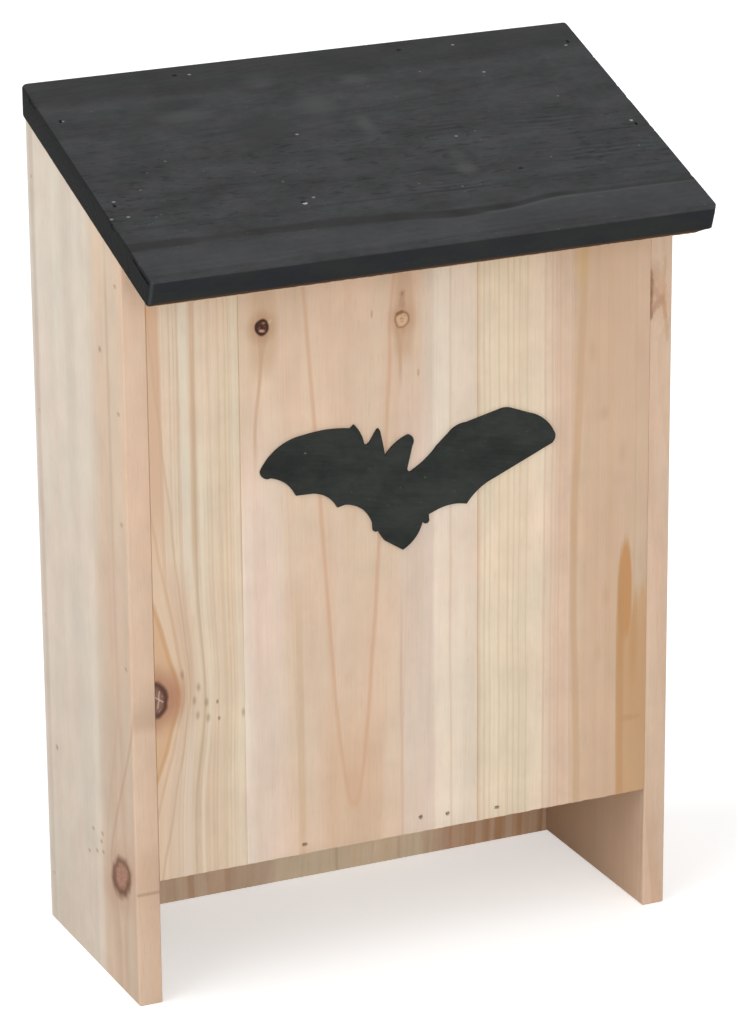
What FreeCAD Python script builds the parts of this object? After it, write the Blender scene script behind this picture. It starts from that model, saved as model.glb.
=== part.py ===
"""Bat box of planed fir boards, nailed together, with a black stained roof and a black bat figure.

Lengths are in millimetres. X runs to the right as the box is seen from the front, Y runs from the
front to the wall behind, and Z runs up. The origin lies on the ground, under the middle of the
whole box, roof included. Inside this file the boards are laid out from the plane of the front
panel's face, at y = 0, and each shape is moved to the origin when it is written out.
"""

import FreeCAD
import Part

import math
import os

from FreeCAD import Placement, Rotation, Vector

# Body of the box
outer_width = 240.0
board_thickness = 10.0
side_depth = 100.0
side_front_height = 314.5
side_rear_height = 349.5

# Front panel, glued up from three staves
panel_lift = 53.5
left_stave_width = 38.4
right_stave_width = 78.0

# Floor and the slit that the bats climb through, between the floor and the back panel
floor_thickness = 10.0
entry_slit = 18.0

# Grip grooves across the inner face of the back panel
groove_width = 2.0
groove_depth = 1.0
groove_pitch = 15.0
groove_start = 30.0
groove_top_margin = 30.0

# Roof board
roof_thickness = 11.5
roof_side_overhang = 1.75
roof_front_overhang = 31.0
roof_corner_radius = 1.5

# Black bat figure on the front panel
figure_thickness = 1.0
figure_lift = 125.0
figure_tail_x = -1.8

# Keyhole plate let into the rear face, and what it leaves for the hanging screw
plate_width = 46.0
plate_height = 22.0
plate_thickness = 1.5
plate_corner_radius = 3.0
plate_drop = 50.0
plate_gap = 0.2
keyhole_radius = 4.5
keyhole_slot_width = 4.4
keyhole_rise = 7.0
keyhole_offset = -3.5
pocket_gap = 0.7
pocket_depth = 4.0

# Countersunk screws that hold the plate
screw_spacing = 33.0
screw_head_radius = 2.9
screw_shank_radius = 1.4
screw_length = 8.0
screw_tip_length = 2.5
screw_slot_width = 0.7
screw_slot_depth = 0.6
screw_hole_gap = 0.25

# Brads: flat wire nails with a small rectangular head
brad_length = 25.0
brad_wire = (1.25, 1.0)
brad_head = (2.0, 1.25)
brad_head_thickness = 0.6
brad_point_length = 1.8
brad_sink = 0.5
roof_brad_sink = 1.0
pit_rise = 2.0

# Places of the brads. Each is a distance along its row, from the end or the glue joint that the
# name gives, and a sideways drift from the middle of the board that it enters, as nailed by eye.
panel_brads_from_top = ((12.5, 1.6), (64.0, 1.3))
panel_brads_from_bottom = ((151.5, 1.1), (91.0, 0.6))
back_brads_from_top = ((25.0, 0.0), (123.0, -0.3))
back_brads_from_bottom = ((137.0, 0.3), (21.5, 0.0))
floor_brads_from_left_joint = ((25.4, -0.8),)
floor_brads_from_right_joint = ((-25.9, 1.6), (-13.6, 0.9), (9.0, -0.5))
roof_left_brads = ((14.7, 1.0), (27.8, 0.4))
roof_right_brads = ((25.4, 1.0), (14.0, 0.6))
roof_front_brads_from_left_joint = ((29.3, -2.9),)
roof_front_brads_from_right_joint = ((22.0, 1.0),)
roof_rear_brads_from_left = ((52.2, -1.2),)
roof_rear_brads_from_right = ((-68.4, -1.4),)

# Worked out from the sizes above
half_width = outer_width / 2
inner_half_width = half_width - board_thickness
slope = (side_rear_height - side_front_height) / side_depth
pitch = math.atan(slope)
roof_rise = roof_thickness / math.cos(pitch)
panel_width = outer_width - 2 * board_thickness
left_joint = -inner_half_width + left_stave_width
right_joint = inner_half_width - right_stave_width
floor_top = panel_lift + floor_thickness
back_face = side_depth - board_thickness
front_reach = -(roof_front_overhang + roof_thickness * math.sin(pitch))
origin_shift = Vector(0, -(side_depth + front_reach) / 2, 0)
plate_centre_z = side_rear_height - plate_drop
keyhole_z = plate_centre_z + keyhole_offset


def under_roof(y):
    """Height of the roof's underside over the line at depth y."""
    return side_front_height + slope * y


def prism_x(points, x_from, x_to):
    """A straight solid along X from an outline of (y, z) points."""
    corners = [Vector(x_from, y, z) for y, z in points]
    face = Part.Face(Part.makePolygon(corners + corners[:1]))
    return face.extrude(Vector(x_to - x_from, 0, 0))


def upright_board(x_from, x_to, y_from, y_to, z_from):
    """An upright board whose top end is bevelled to the roof's slope."""
    outline = (
        (y_from, z_from),
        (y_to, z_from),
        (y_to, under_roof(y_to)),
        (y_from, under_roof(y_from)),
    )
    return prism_x(outline, x_from, x_to)


def one_solid(shape):
    """The single solid that a cut or a union leaves."""
    clean = shape.removeSplitter()
    if len(clean.Solids) != 1:
        raise ValueError("a piece fell apart")
    return clean.Solids[0]


def save(name, shape):
    """Move a piece to the shared origin and write it as the node's file."""
    placed = shape.copy()
    placed.translate(origin_shift)
    placed.exportStep("parts/" + name + ".step")


class Brad:
    """One brad, driven along a direction from a point on the face of the first board."""

    def __init__(self, point, direction, head_along, sink):
        across = direction.cross(head_along)
        placement = Placement(point, Rotation(head_along, across, -direction, "ZXY"))
        wire_x, wire_y = brad_wire
        head_x, head_y = brad_head
        neck = -sink - brad_head_thickness
        tip = -sink - brad_length
        shoulder = tip + brad_point_length
        head = Part.makeBox(
            head_x, head_y, brad_head_thickness, Vector(-head_x / 2, -head_y / 2, neck)
        )
        shank = Part.makeBox(
            wire_x, wire_y, neck - shoulder, Vector(-wire_x / 2, -wire_y / 2, shoulder)
        )
        chisel = [
            Vector(-wire_x / 2, -wire_y / 2, shoulder),
            Vector(-wire_x / 2, wire_y / 2, shoulder),
            Vector(-wire_x / 2, 0, tip),
        ]
        point_face = Part.Face(Part.makePolygon(chisel + chisel[:1]))
        point_end = point_face.extrude(Vector(wire_x, 0, 0))
        self.solid = one_solid(head.fuse([shank, point_end]))
        self.solid.Placement = placement
        pit = Part.makeBox(
            head_x, head_y, sink + pit_rise, Vector(-head_x / 2, -head_y / 2, -sink)
        )
        pit.Placement = placement
        self.hole = one_solid(self.solid.fuse(pit))


def cut_for(board, *rows):
    """Cut the holes of every brad in the rows out of a board."""
    holes = [brad.hole for row in rows for brad in row]
    return one_solid(board.cut(holes))


def row_heights(low, high, from_top, from_bottom):
    """Heights and drifts of a row of brads up the edge of an upright board."""
    upper = [(high - distance, drift) for distance, drift in from_top]
    lower = [(low + distance, drift) for distance, drift in from_bottom]
    return upper + lower


def side_row(side, middle_y, heights):
    """Brads through a side board into the edge of a panel. side is -1 on the left, 1 on the right."""
    return [
        Brad(Vector(side * half_width, middle_y + drift, z), Vector(-side, 0, 0), Vector(0, 1, 0), brad_sink)
        for z, drift in heights
    ]


def roof_brad(x, y, head_along):
    """A brad driven plumb through the roof into the end of the board under it."""
    top = under_roof(y) + roof_rise
    return Brad(Vector(x, y, top), Vector(0, 0, -1), head_along, roof_brad_sink)


def roof_side_row(side, places):
    """Brads through the roof into the top of a side board, one near each end."""
    (near_front, front_drift), (near_rear, rear_drift) = places
    middle_x = half_width - board_thickness / 2
    return [
        roof_brad(side * (middle_x + front_drift), near_front, Vector(0, 1, 0)),
        roof_brad(side * (middle_x + rear_drift), side_depth - near_rear, Vector(0, 1, 0)),
    ]


def cross_row(from_left, left_x, from_right, right_x):
    """Places and drifts of a row of brads across the box, each counted from one of two lines."""
    left_part = [(left_x + distance, drift) for distance, drift in from_left]
    right_part = [(right_x + distance, drift) for distance, drift in from_right]
    return left_part + right_part


def roof_cross_row(middle_y, places):
    """Brads through the roof into the top of the front or the back panel."""
    return [roof_brad(x, middle_y + drift, Vector(1, 0, 0)) for x, drift in places]


def floor_row(places):
    """Brads through the foot of the front panel into the front edge of the floor."""
    middle_z = panel_lift + floor_thickness / 2
    return [
        Brad(Vector(x, 0, middle_z + drift), Vector(0, 1, 0), Vector(1, 0, 0), brad_sink)
        for x, drift in places
    ]


def keyhole_prism(radius, slot_half, y_from, depth):
    """A keyhole shape along Y: a round hole with a round-ended slot rising from it."""
    rise = keyhole_rise
    hole = Part.makeCylinder(radius, depth, Vector(0, y_from, keyhole_z), Vector(0, 1, 0))
    slot = Part.makeBox(2 * slot_half, depth, rise, Vector(-slot_half, y_from, keyhole_z))
    end = Part.makeCylinder(slot_half, depth, Vector(0, y_from, keyhole_z + rise), Vector(0, 1, 0))
    return hole.fuse([slot, end])


def plate_blank(grow, thickness, y_from):
    """The plate's outline with round corners, grown by a gap for its recess."""
    width = plate_width + 2 * grow
    height = plate_height + 2 * grow
    corner = Vector(-width / 2, y_from, plate_centre_z - height / 2)
    blank = Part.makeBox(width, thickness, height, corner)
    upright = [edge for edge in blank.Edges if abs(edge.tangentAt(edge.FirstParameter).y) > 0.99]
    return blank.makeFillet(plate_corner_radius + grow, upright)


def screw_cone(grow, x, tip_y):
    """The countersunk head of a plate screw, flush with the rear face."""
    head = screw_head_radius + grow
    neck = screw_shank_radius + grow
    height = head - neck
    return Part.makeCone(neck, head, height, Vector(x, tip_y - height, plate_centre_z), Vector(0, 1, 0))


def screw(x):
    """One countersunk screw with a cross recess, driven in from the rear."""
    head = screw_cone(0, x, side_depth)
    head_height = screw_head_radius - screw_shank_radius
    shank_length = screw_length - head_height - screw_tip_length
    shank_y = side_depth - head_height - shank_length
    shank = Part.makeCylinder(
        screw_shank_radius, shank_length, Vector(x, shank_y, plate_centre_z), Vector(0, 1, 0)
    )
    tip_y = shank_y - screw_tip_length
    tip = Part.makeCone(
        0, screw_shank_radius, screw_tip_length, Vector(x, tip_y, plate_centre_z), Vector(0, 1, 0)
    )
    body = head.fuse([shank, tip])
    arm = screw_head_radius
    slot_y = side_depth - screw_slot_depth
    flat = Part.makeBox(
        arm, screw_slot_depth, screw_slot_width,
        Vector(x - arm / 2, slot_y, plate_centre_z - screw_slot_width / 2),
    )
    tall = Part.makeBox(
        screw_slot_width, screw_slot_depth, arm,
        Vector(x - screw_slot_width / 2, slot_y, plate_centre_z - arm / 2),
    )
    return one_solid(body.cut([flat, tall]))


def screw_hole(x):
    """The hole that a screw fills in the back panel."""
    radius = screw_shank_radius
    y_from = side_depth - screw_length + screw_tip_length
    bore = Part.makeCylinder(
        radius, side_depth - y_from, Vector(x, y_from, plate_centre_z), Vector(0, 1, 0)
    )
    tip = Part.makeCone(
        0, radius, screw_tip_length,
        Vector(x, y_from - screw_tip_length, plate_centre_z), Vector(0, 1, 0),
    )
    return bore.fuse(tip)


def hanger_plate():
    """Keyhole plate, flush in the rear face, with a countersunk hole near each end."""
    face_y = side_depth - plate_thickness
    plate = plate_blank(0, plate_thickness, face_y)
    cuts = [keyhole_prism(keyhole_radius, keyhole_slot_width / 2, face_y, plate_thickness)]
    for x in screw_places:
        cuts.append(screw_cone(screw_hole_gap, x, side_depth))
        cuts.append(Part.makeCylinder(
            screw_shank_radius + screw_hole_gap, plate_thickness,
            Vector(x, face_y, plate_centre_z), Vector(0, 1, 0),
        ))
    return one_solid(plate.cut(cuts))


def back_panel(*rows):
    """Back panel with grip grooves inside and the recess for the keyhole plate behind."""
    panel = upright_board(-inner_half_width, inner_half_width, back_face, side_depth, 0)
    groove_end = under_roof(back_face) - groove_top_margin
    count = int((groove_end - groove_start) // groove_pitch) + 1
    grooves = [
        Part.makeBox(
            panel_width, groove_depth, groove_width,
            Vector(-inner_half_width, back_face, groove_start + index * groove_pitch),
        )
        for index in range(count)
    ]
    recess = plate_blank(plate_gap, plate_thickness, side_depth - plate_thickness)
    pocket_radius = keyhole_radius + pocket_gap
    pocket = keyhole_prism(
        pocket_radius, pocket_radius, side_depth - plate_thickness - pocket_depth, pocket_depth
    )
    screws = [screw_hole(x) for x in screw_places]
    holes = [brad.hole for row in rows for brad in row]
    return one_solid(panel.cut(grooves + [recess, pocket] + screws + holes))


def roof_board(*rows):
    """Roof board: square front edge, rear edge cut plumb and flush, corners slightly rounded."""
    low_front = -roof_front_overhang
    outline = (
        (low_front, under_roof(low_front)),
        (side_depth, under_roof(side_depth)),
        (side_depth, under_roof(side_depth) + roof_rise),
        (front_reach, under_roof(low_front) + roof_thickness * math.cos(pitch)),
    )
    reach = half_width + roof_side_overhang
    board = prism_x(outline, -reach, reach)
    along = Vector(0, -math.sin(pitch), math.cos(pitch))
    corners = []
    for edge in board.Edges:
        run = edge.tangentAt(edge.FirstParameter)
        if abs(run.x) < 0.01 and (abs(run.dot(along)) > 0.999 or abs(run.z) > 0.999):
            corners.append(edge)
    return cut_for(board.makeFillet(roof_corner_radius, corners), *rows)


# Outline of the bat figure, clockwise from the tip of its tail, as (x, z) from the tail. An entry
# of one point is a straight cut to it, an entry of two is an arc through the first to the second.
figure_outline = (
    ((-8.1, 5.3),),
    ((-9.8, 8.0), (-10.9, 9.9)),
    ((-12.2, 9.6), (-13.1, 10.9)),
    ((-13.2, 13.2),),
    ((-16.9, 19.2), (-25.4, 23.0)),
    ((-28.6, 22.3),),
    ((-32.6, 27.1), (-39.4, 29.8)),
    ((-46.5, 30.0),),
    ((-50.0, 34.9), (-57.5, 38.9)),
    ((-61.0, 39.9), (-61.7, 42.3)),
    ((-55.1, 50.0), (-43.0, 54.5)),
    ((-33.1, 55.4), (-22.7, 54.5)),
    ((-21.0, 55.9),),
    ((-18.2, 51.9), (-16.7, 47.4)),
    ((-15.6, 46.7),),
    ((-14.3, 47.6),),
    ((-11.0, 52.6),),
    ((-10.3, 52.8),),
    ((-9.7, 51.6),),
    ((-8.7, 47.2), (-7.6, 40.9)),
    ((-3.4, 45.2), (2.7, 48.4)),
    ((4.7, 46.9), (4.5, 43.7)),
    ((2.2, 34.4),),
    ((2.8, 32.9), (4.6, 33.2)),
    ((9.9, 36.5), (15.2, 41.6)),
    ((22.2, 47.8),),
    ((24.9, 49.2), (28.7, 49.8)),
    ((43.0, 53.1),),
    ((46.4, 53.5), (49.6, 52.6)),
    ((57.4, 49.6),),
    ((64.3, 45.6), (67.8, 40.7)),
    ((68.4, 37.6), (66.8, 35.5)),
    ((41.4, 24.7),),
    ((34.1, 20.9), (28.5, 15.3)),
    ((22.8, 16.1), (16.2, 15.1)),
    ((11.6, 13.4),),
    ((11.7, 11.6),),
    ((10.8, 9.7), (8.9, 10.9)),
    ((6.8, 6.0), (0.0, 0.0)),
)


def bat_figure():
    """Flat cut-out of a flying bat, glued on the front panel."""
    def place(point):
        return Vector(figure_tail_x + point[0], -figure_thickness, panel_lift + figure_lift + point[1])

    edges = []
    start = place((0.0, 0.0))
    for entry in figure_outline:
        end = place(entry[-1])
        if len(entry) == 1:
            edges.append(Part.LineSegment(start, end).toShape())
        else:
            edges.append(Part.Arc(start, place(entry[0]), end).toShape())
        start = end
    face = Part.Face(Part.Wire(edges))
    return one_solid(face.extrude(Vector(0, figure_thickness, 0)))


os.makedirs("parts", exist_ok=True)
screw_places = (-screw_spacing / 2, screw_spacing / 2)

# Rows of brads
panel_heights = row_heights(panel_lift, side_front_height, panel_brads_from_top, panel_brads_from_bottom)
back_heights = row_heights(0, side_rear_height, back_brads_from_top, back_brads_from_bottom)
panel_rows = {side: side_row(side, board_thickness / 2, panel_heights) for side in (-1, 1)}
back_rows = {side: side_row(side, side_depth - board_thickness / 2, back_heights) for side in (-1, 1)}
roof_rows = {-1: roof_side_row(-1, roof_left_brads), 1: roof_side_row(1, roof_right_brads)}
front_places = cross_row(
    roof_front_brads_from_left_joint, left_joint, roof_front_brads_from_right_joint, right_joint
)
roof_front = roof_cross_row(board_thickness / 2, front_places)
rear_places = cross_row(
    roof_rear_brads_from_left, -inner_half_width, roof_rear_brads_from_right, inner_half_width
)
roof_rear = roof_cross_row(side_depth - board_thickness / 2, rear_places)
floor_places = cross_row(
    floor_brads_from_left_joint, left_joint, floor_brads_from_right_joint, right_joint
)
floor_front = floor_row(floor_places)

# Side boards
for side, name in ((-1, "left_side_board"), (1, "right_side_board")):
    low_x, high_x = sorted((side * inner_half_width, side * half_width))
    board = upright_board(low_x, high_x, 0, side_depth, 0)
    save(name, cut_for(board, panel_rows[side], back_rows[side], roof_rows[side]))

# Front panel
staves = (
    ("front_stave_left", -inner_half_width, left_joint),
    ("front_stave_middle", left_joint, right_joint),
    ("front_stave_right", right_joint, inner_half_width),
)
for name, x_from, x_to in staves:
    stave = upright_board(x_from, x_to, 0, board_thickness, panel_lift)
    save(name, cut_for(stave, panel_rows[-1], panel_rows[1], floor_front, roof_front))

# Back panel
save("back_panel", back_panel(back_rows[-1], back_rows[1], roof_rear))

# Floor board
floor_depth = back_face - entry_slit - board_thickness
floor = Part.makeBox(
    panel_width, floor_depth, floor_thickness,
    Vector(-inner_half_width, board_thickness, panel_lift),
)
save("floor_board", cut_for(floor, floor_front))

# Roof board
save("roof_board", roof_board(roof_rows[-1], roof_rows[1], roof_front, roof_rear))

# Bat figure
save("bat_figure", bat_figure())

# Keyhole plate and its screws
save("hanger_plate", hanger_plate())
for x, name in zip(screw_places, ("hanger_screw_left", "hanger_screw_right")):
    save(name, screw(x))

# Brads, one file for each row
brad_rows = {
    "front_panel_brads_left": panel_rows[-1],
    "front_panel_brads_right": panel_rows[1],
    "back_panel_brads_left": back_rows[-1],
    "back_panel_brads_right": back_rows[1],
    "floor_brads": floor_front,
    "roof_brads_left": roof_rows[-1],
    "roof_brads_right": roof_rows[1],
    "roof_brads_front": roof_front,
    "roof_brads_rear": roof_rear,
}
for name, row in brad_rows.items():
    save(name, Part.makeCompound([brad.solid for brad in row]))
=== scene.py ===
import math
import random

import bpy
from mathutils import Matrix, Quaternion, Vector


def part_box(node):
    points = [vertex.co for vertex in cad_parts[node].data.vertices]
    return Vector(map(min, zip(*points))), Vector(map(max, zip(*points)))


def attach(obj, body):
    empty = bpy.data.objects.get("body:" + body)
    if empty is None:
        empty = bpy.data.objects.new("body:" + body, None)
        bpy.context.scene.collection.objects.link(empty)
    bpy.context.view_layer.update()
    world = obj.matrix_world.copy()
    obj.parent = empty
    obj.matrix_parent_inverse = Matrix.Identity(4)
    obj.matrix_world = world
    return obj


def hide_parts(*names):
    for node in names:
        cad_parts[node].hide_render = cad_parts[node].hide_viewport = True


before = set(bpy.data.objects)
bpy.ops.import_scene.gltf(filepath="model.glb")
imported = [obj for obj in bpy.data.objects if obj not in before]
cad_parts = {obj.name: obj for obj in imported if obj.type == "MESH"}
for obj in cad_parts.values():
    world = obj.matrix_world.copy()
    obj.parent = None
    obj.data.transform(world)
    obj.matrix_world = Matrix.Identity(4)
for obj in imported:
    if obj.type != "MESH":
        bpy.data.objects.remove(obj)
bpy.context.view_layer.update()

# The camera stands in front of the box, to its left and above it, and far enough away for the
# upright edges to stay nearly parallel.
camera_azimuth = math.radians(-24.554)
camera_elevation = math.radians(19.215)
camera_roll = math.radians(-0.472)
level = math.cos(camera_elevation)
backwards = Vector((
    math.sin(camera_azimuth) * level,
    -math.cos(camera_azimuth) * level,
    math.sin(camera_elevation),
))
camera_turn = backwards.to_track_quat("Z", "Y") @ Quaternion((0, 0, 1), camera_roll)
front_face_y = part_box("left_side_board")[0][1]
stand = (-0.726478, front_face_y - 1.554074, 0.792046)
bpy.ops.object.camera_add(location=stand, rotation=camera_turn.to_euler())
camera = bpy.context.object
camera.data.lens = 159.097
camera.data.sensor_width = 36
bpy.context.scene.camera = camera
bpy.context.scene.view_settings.view_transform = "Standard"

# The studio is a wide white floor under an even white sky, with one broad soft lamp near the
# camera and a weaker one to the left. The floor keeps the shadow of the box.


class Value:
    """A number, place or colour in a shader. A sum on it adds the node that works it out."""

    def __init__(self, socket):
        self.socket = socket
        self.tree = socket.id_data

    def into(self, socket):
        """Joins it to a socket that takes it in."""
        self.tree.links.new(self.socket, socket)

    def __add__(self, other):
        return maths("ADD", self, other)

    def __sub__(self, other):
        return maths("SUBTRACT", self, other)

    def __mul__(self, other):
        return maths("MULTIPLY", self, other)

    def __truediv__(self, other):
        return maths("DIVIDE", self, other)

    def __pow__(self, other):
        return maths("POWER", self, other)

    def __abs__(self):
        return maths("ABSOLUTE", self)

    def __radd__(self, other):
        return maths("ADD", other, self)

    def __rsub__(self, other):
        return maths("SUBTRACT", other, self)

    def __rtruediv__(self, other):
        return maths("DIVIDE", other, self)


def put(tree, kind, sockets=None, **settings):
    """Adds a node, sets it up, joins or fills its sockets, and gives what comes out of it."""
    node = tree.nodes.new("ShaderNode" + kind)
    for name, value in settings.items():
        setattr(node, name, value)
    for key, value in (sockets or {}).items():
        if isinstance(value, Value):
            value.into(node.inputs[key])
        else:
            node.inputs[key].default_value = value
    outputs = list(enumerate(node.outputs)) + node.outputs.items()
    return {key: Value(socket) for key, socket in outputs}


def tree_of(*terms):
    """The tree that some values are in."""
    return next(term.tree for term in terms if isinstance(term, Value))


def maths(operation, *terms):
    """The result of one sum, on places if it starts from a place, and otherwise on numbers."""
    on_places = isinstance(terms[0], Value) and terms[0].socket.type == "VECTOR"
    kind = "VectorMath" if on_places else "Math"
    results = put(tree_of(*terms), kind, dict(enumerate(terms)), operation=operation)
    return results[1 if operation == "LENGTH" else 0]


def new_material(name):
    """An empty material, its node tree, and the socket that its shader goes into."""
    material = bpy.data.materials.new(name)
    material.use_nodes = True
    tree = material.node_tree
    tree.nodes.clear()
    return material, tree, tree.nodes.new("ShaderNodeOutputMaterial").inputs["Surface"]


sky_strength = 0.56
floor_white = 0.86
floor_glow = 0.46
floor_size = 14
lamps = {"front_lamp": ((7, -8), 50, 1.35), "left_lamp": ((36, -80), 55, 1.25)}

bpy.ops.mesh.primitive_plane_add(size=floor_size)
floor = bpy.context.object
floor.name = "studio_floor"
floor_material, tree, surface = new_material("studio_floor")
paper_grain = put(tree, "TexNoise", {"Scale": 90.0, "Detail": 3.0})[0]
paper_tone = put(tree, "MapRange", {0: paper_grain, 3: floor_white - 0.01, 4: floor_white + 0.01})[0]
paper = put(tree, "BsdfDiffuse", {"Color": paper_tone})
light_path = put(tree, "LightPath")
glow = put(tree, "Emission", {"Strength": light_path["Is Camera Ray"] * floor_glow})
lit = put(tree, "AddShader", {0: paper[0], 1: glow[0]})
from_below = put(tree, "NewGeometry")["Backfacing"]
clear = put(tree, "BsdfTransparent")
floor_mix = put(tree, "MixShader", {0: from_below, 1: lit[0], 2: clear[0]})
floor_mix[0].into(surface)
floor.data.materials.append(floor_material)

world = bpy.data.worlds.new("studio")
world.use_nodes = True
tree = world.node_tree
tree.nodes.clear()
light_path = put(tree, "LightPath")
seen = maths("MAXIMUM", light_path["Is Camera Ray"], light_path["Is Glossy Ray"])
seen = maths("MAXIMUM", seen, light_path["Is Transmission Ray"])
dim = put(tree, "Background", {"Color": (1, 1, 1, 1), "Strength": sky_strength})
white = put(tree, "Background", {"Color": (1, 1, 1, 1), "Strength": 1.0})
sky = put(tree, "MixShader", {0: seen, 1: dim[0], 2: white[0]})
sky[0].into(tree.nodes.new("ShaderNodeOutputWorld").inputs["Surface"])
bpy.context.scene.world = world

for name, ((elevation, azimuth), spread, strength) in lamps.items():
    turn = (math.radians(90 - elevation), 0, math.radians(azimuth))
    bpy.ops.object.light_add(type="SUN", rotation=turn)
    lamp = bpy.context.object
    lamp.name = name
    lamp.data.energy = strength
    lamp.data.angle = math.radians(spread)

# The two side boards are planed fir, 10 mm thick, and carry the whole box. Each stands on the
# ground, has its top sawn to the roof's slope, and is nailed to the edges of the two panels. The
# holes over these brads were stopped and rubbed down, so that only soft marks show.

# Patterns are laid out in millimetres, and far lies past the ends of every board
to_mm = 1000
far = 900.0
origin = (0.0, 0.0, 0.0)
pale = (0.8, 0.8, 0.8, 1.0)
late_brown = (0.8, 0.66, 0.52, 1.0)


def srgb(red, green, blue):
    """A colour as it is seen, from 0 to 255, in the linear values that a shader takes."""
    return [((part / 255 + 0.055) / 1.055) ** 2.4 for part in (red, green, blue)] + [1]


def new_group(name, takes, gives):
    """A shader group. The kind of each input follows from its starting value."""
    tree = bpy.data.node_groups.new(name, "ShaderNodeTree")
    kinds = {1: "NodeSocketFloat", 3: "NodeSocketVector", 4: "NodeSocketColor"}
    for label, start in takes.items():
        kind = kinds[1 if isinstance(start, float) else len(start)]
        socket = tree.interface.new_socket(name=label, in_out="INPUT", socket_type=kind)
        socket.default_value = start
    for label, size in gives.items():
        tree.interface.new_socket(name=label, in_out="OUTPUT", socket_type=kinds[size])
    take = {label: Value(socket) for label, socket in tree.nodes.new("NodeGroupInput").outputs.items()}
    return tree, take, tree.nodes.new("NodeGroupOutput").inputs


def fade(value, start, end, low=0.0, high=1.0):
    """Runs smoothly from low, at start, to high, at end."""
    sockets = {0: value, 1: start, 2: end, 3: low, 4: high}
    return put(value.tree, "MapRange", sockets, interpolation_type="SMOOTHSTEP")[0]


def noise(position, stretch, detail=2.0, roughness=0.5):
    """Cloudy noise, with so many clouds to the millimetre along each direction."""
    sockets = {"Vector": position * stretch, "Scale": 1.0, "Detail": detail, "Roughness": roughness}
    return put(position.tree, "TexNoise", sockets)[0]


def sway(*terms):
    """The same noise, to either side of nothing."""
    return noise(*terms) - 0.5


def line_noise(place, scale, detail):
    """Noise along a line."""
    sockets = {"W": place, "Scale": scale, "Detail": detail}
    return put(place.tree, "TexNoise", sockets, noise_dimensions="1D")[0]


def parts_of(place):
    """The three parts of a place."""
    return put(place.tree, "SeparateXYZ", {0: place})


def mixed(share, below, above, way="MIX"):
    """One colour laid over another."""
    sockets = {0: share, 6: below, 7: above}
    return put(tree_of(share, below, above), "Mix", sockets, data_type="RGBA", blend_type=way)[2]


# Growth rings of the tree round a heart line, which may lean within the board
rings_group, take, give = new_group(
    "growth rings",
    {
        "Position": origin, "Heart": origin, "Lean": origin,
        "Ring Width": 2.0, "Wander": 2.0, "Unevenness": 2.0, "Band Width": 5.0,
    },
    {"Latewood": 1, "Ring": 1, "Band": 1},
)
along = parts_of(take["Position"])[2]
offset = take["Position"] - take["Heart"] - take["Lean"] * along
radius = maths("LENGTH", offset * (1, 1, 0))
ring = radius + sway(take["Position"], (0.03, 0.03, 0.006), 1.0) * take["Wander"]
count = ring / take["Ring Width"]
count = count + (line_noise(count, 0.31, 1.0) - 0.5) * take["Unevenness"]
part_grown = maths("FRACT", count)
own = put(rings_group, "TexWhiteNoise", {"W": maths("FLOOR", count)}, noise_dimensions="1D")["Value"]
growth = fade(part_grown, 0.25, 0.9) ** 1.6 * fade(part_grown, 1.0, 0.92)
latewood = growth * fade(own, 0.0, 1.0, 0.1, 1.0)
latewood *= fade(noise(take["Position"], (0.07, 0.07, 0.009), 2.0), 0.35, 0.62, 0.35, 1.0)
fade(line_noise(ring / take["Band Width"], 1.0, 2.0), 0.36, 0.64).into(give["Band"])
latewood.into(give["Latewood"])
ring.into(give["Ring"])

# Planed fir over a ground colour: darker latewood lines, fine fibres and slow changes of tone
fir_group, take, give = new_group(
    "planed fir",
    {
        "Colour": pale, "Position": origin, "Latewood": 0.0,
        "Late Tint": late_brown, "Contrast": 0.6, "Fibre": 0.16, "Flow": 0.3,
        "Band": 0.0, "Band Tone": pale, "Bands": 0.0, "Flecks": 0.3, "Clouds": 0.3,
    },
    {"Colour": 4, "Roughness": 1, "Height": 1},
)
banded = mixed(take["Band"] * take["Bands"], take["Colour"], take["Band Tone"])
fibre = noise(take["Position"], (1.5, 1.5, 0.03), 3.0, 0.65)
flow = noise(take["Position"], (0.11, 0.11, 0.004), 2.0)
colour = mixed(take["Latewood"] * take["Contrast"], banded, take["Late Tint"], "MULTIPLY")
fine = (fibre - 0.5) * take["Fibre"]
colour = mixed(1.0, colour, fine + 1.0, "MULTIPLY")
warm = fade(flow, 0.42, 0.66) * take["Flow"]
colour = mixed(warm, colour, (0.93, 0.85, 0.79, 1), "MULTIPLY")
flecks = noise(take["Position"], (1.8, 1.8, 0.09), 2.0, 0.6)
flecks = fade(flecks, 0.56, 0.7) * take["Flecks"]
colour = mixed(flecks, colour, (0.84, 0.76, 0.68, 1), "MULTIPLY")
clouds = noise(take["Position"], (0.06, 0.06, 0.04), 3.0, 0.6)
clouds = (clouds - 0.5) * take["Clouds"]
colour = mixed(1.0, colour, clouds + 1.0, "MULTIPLY")
cast = fade(noise(take["Position"], (0.05, 0.05, 0.015), 2.0), 0.38, 0.62)
cast = mixed(cast, (0.985, 1.006, 1.0, 1), (1.015, 0.992, 0.985, 1))
colour = mixed(1.0, colour, cast, "MULTIPLY")
colour.into(give["Colour"])
(fibre * 0.16 + 0.56).into(give["Roughness"])
(take["Latewood"] * 0.5 + fibre).into(give["Height"])

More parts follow.
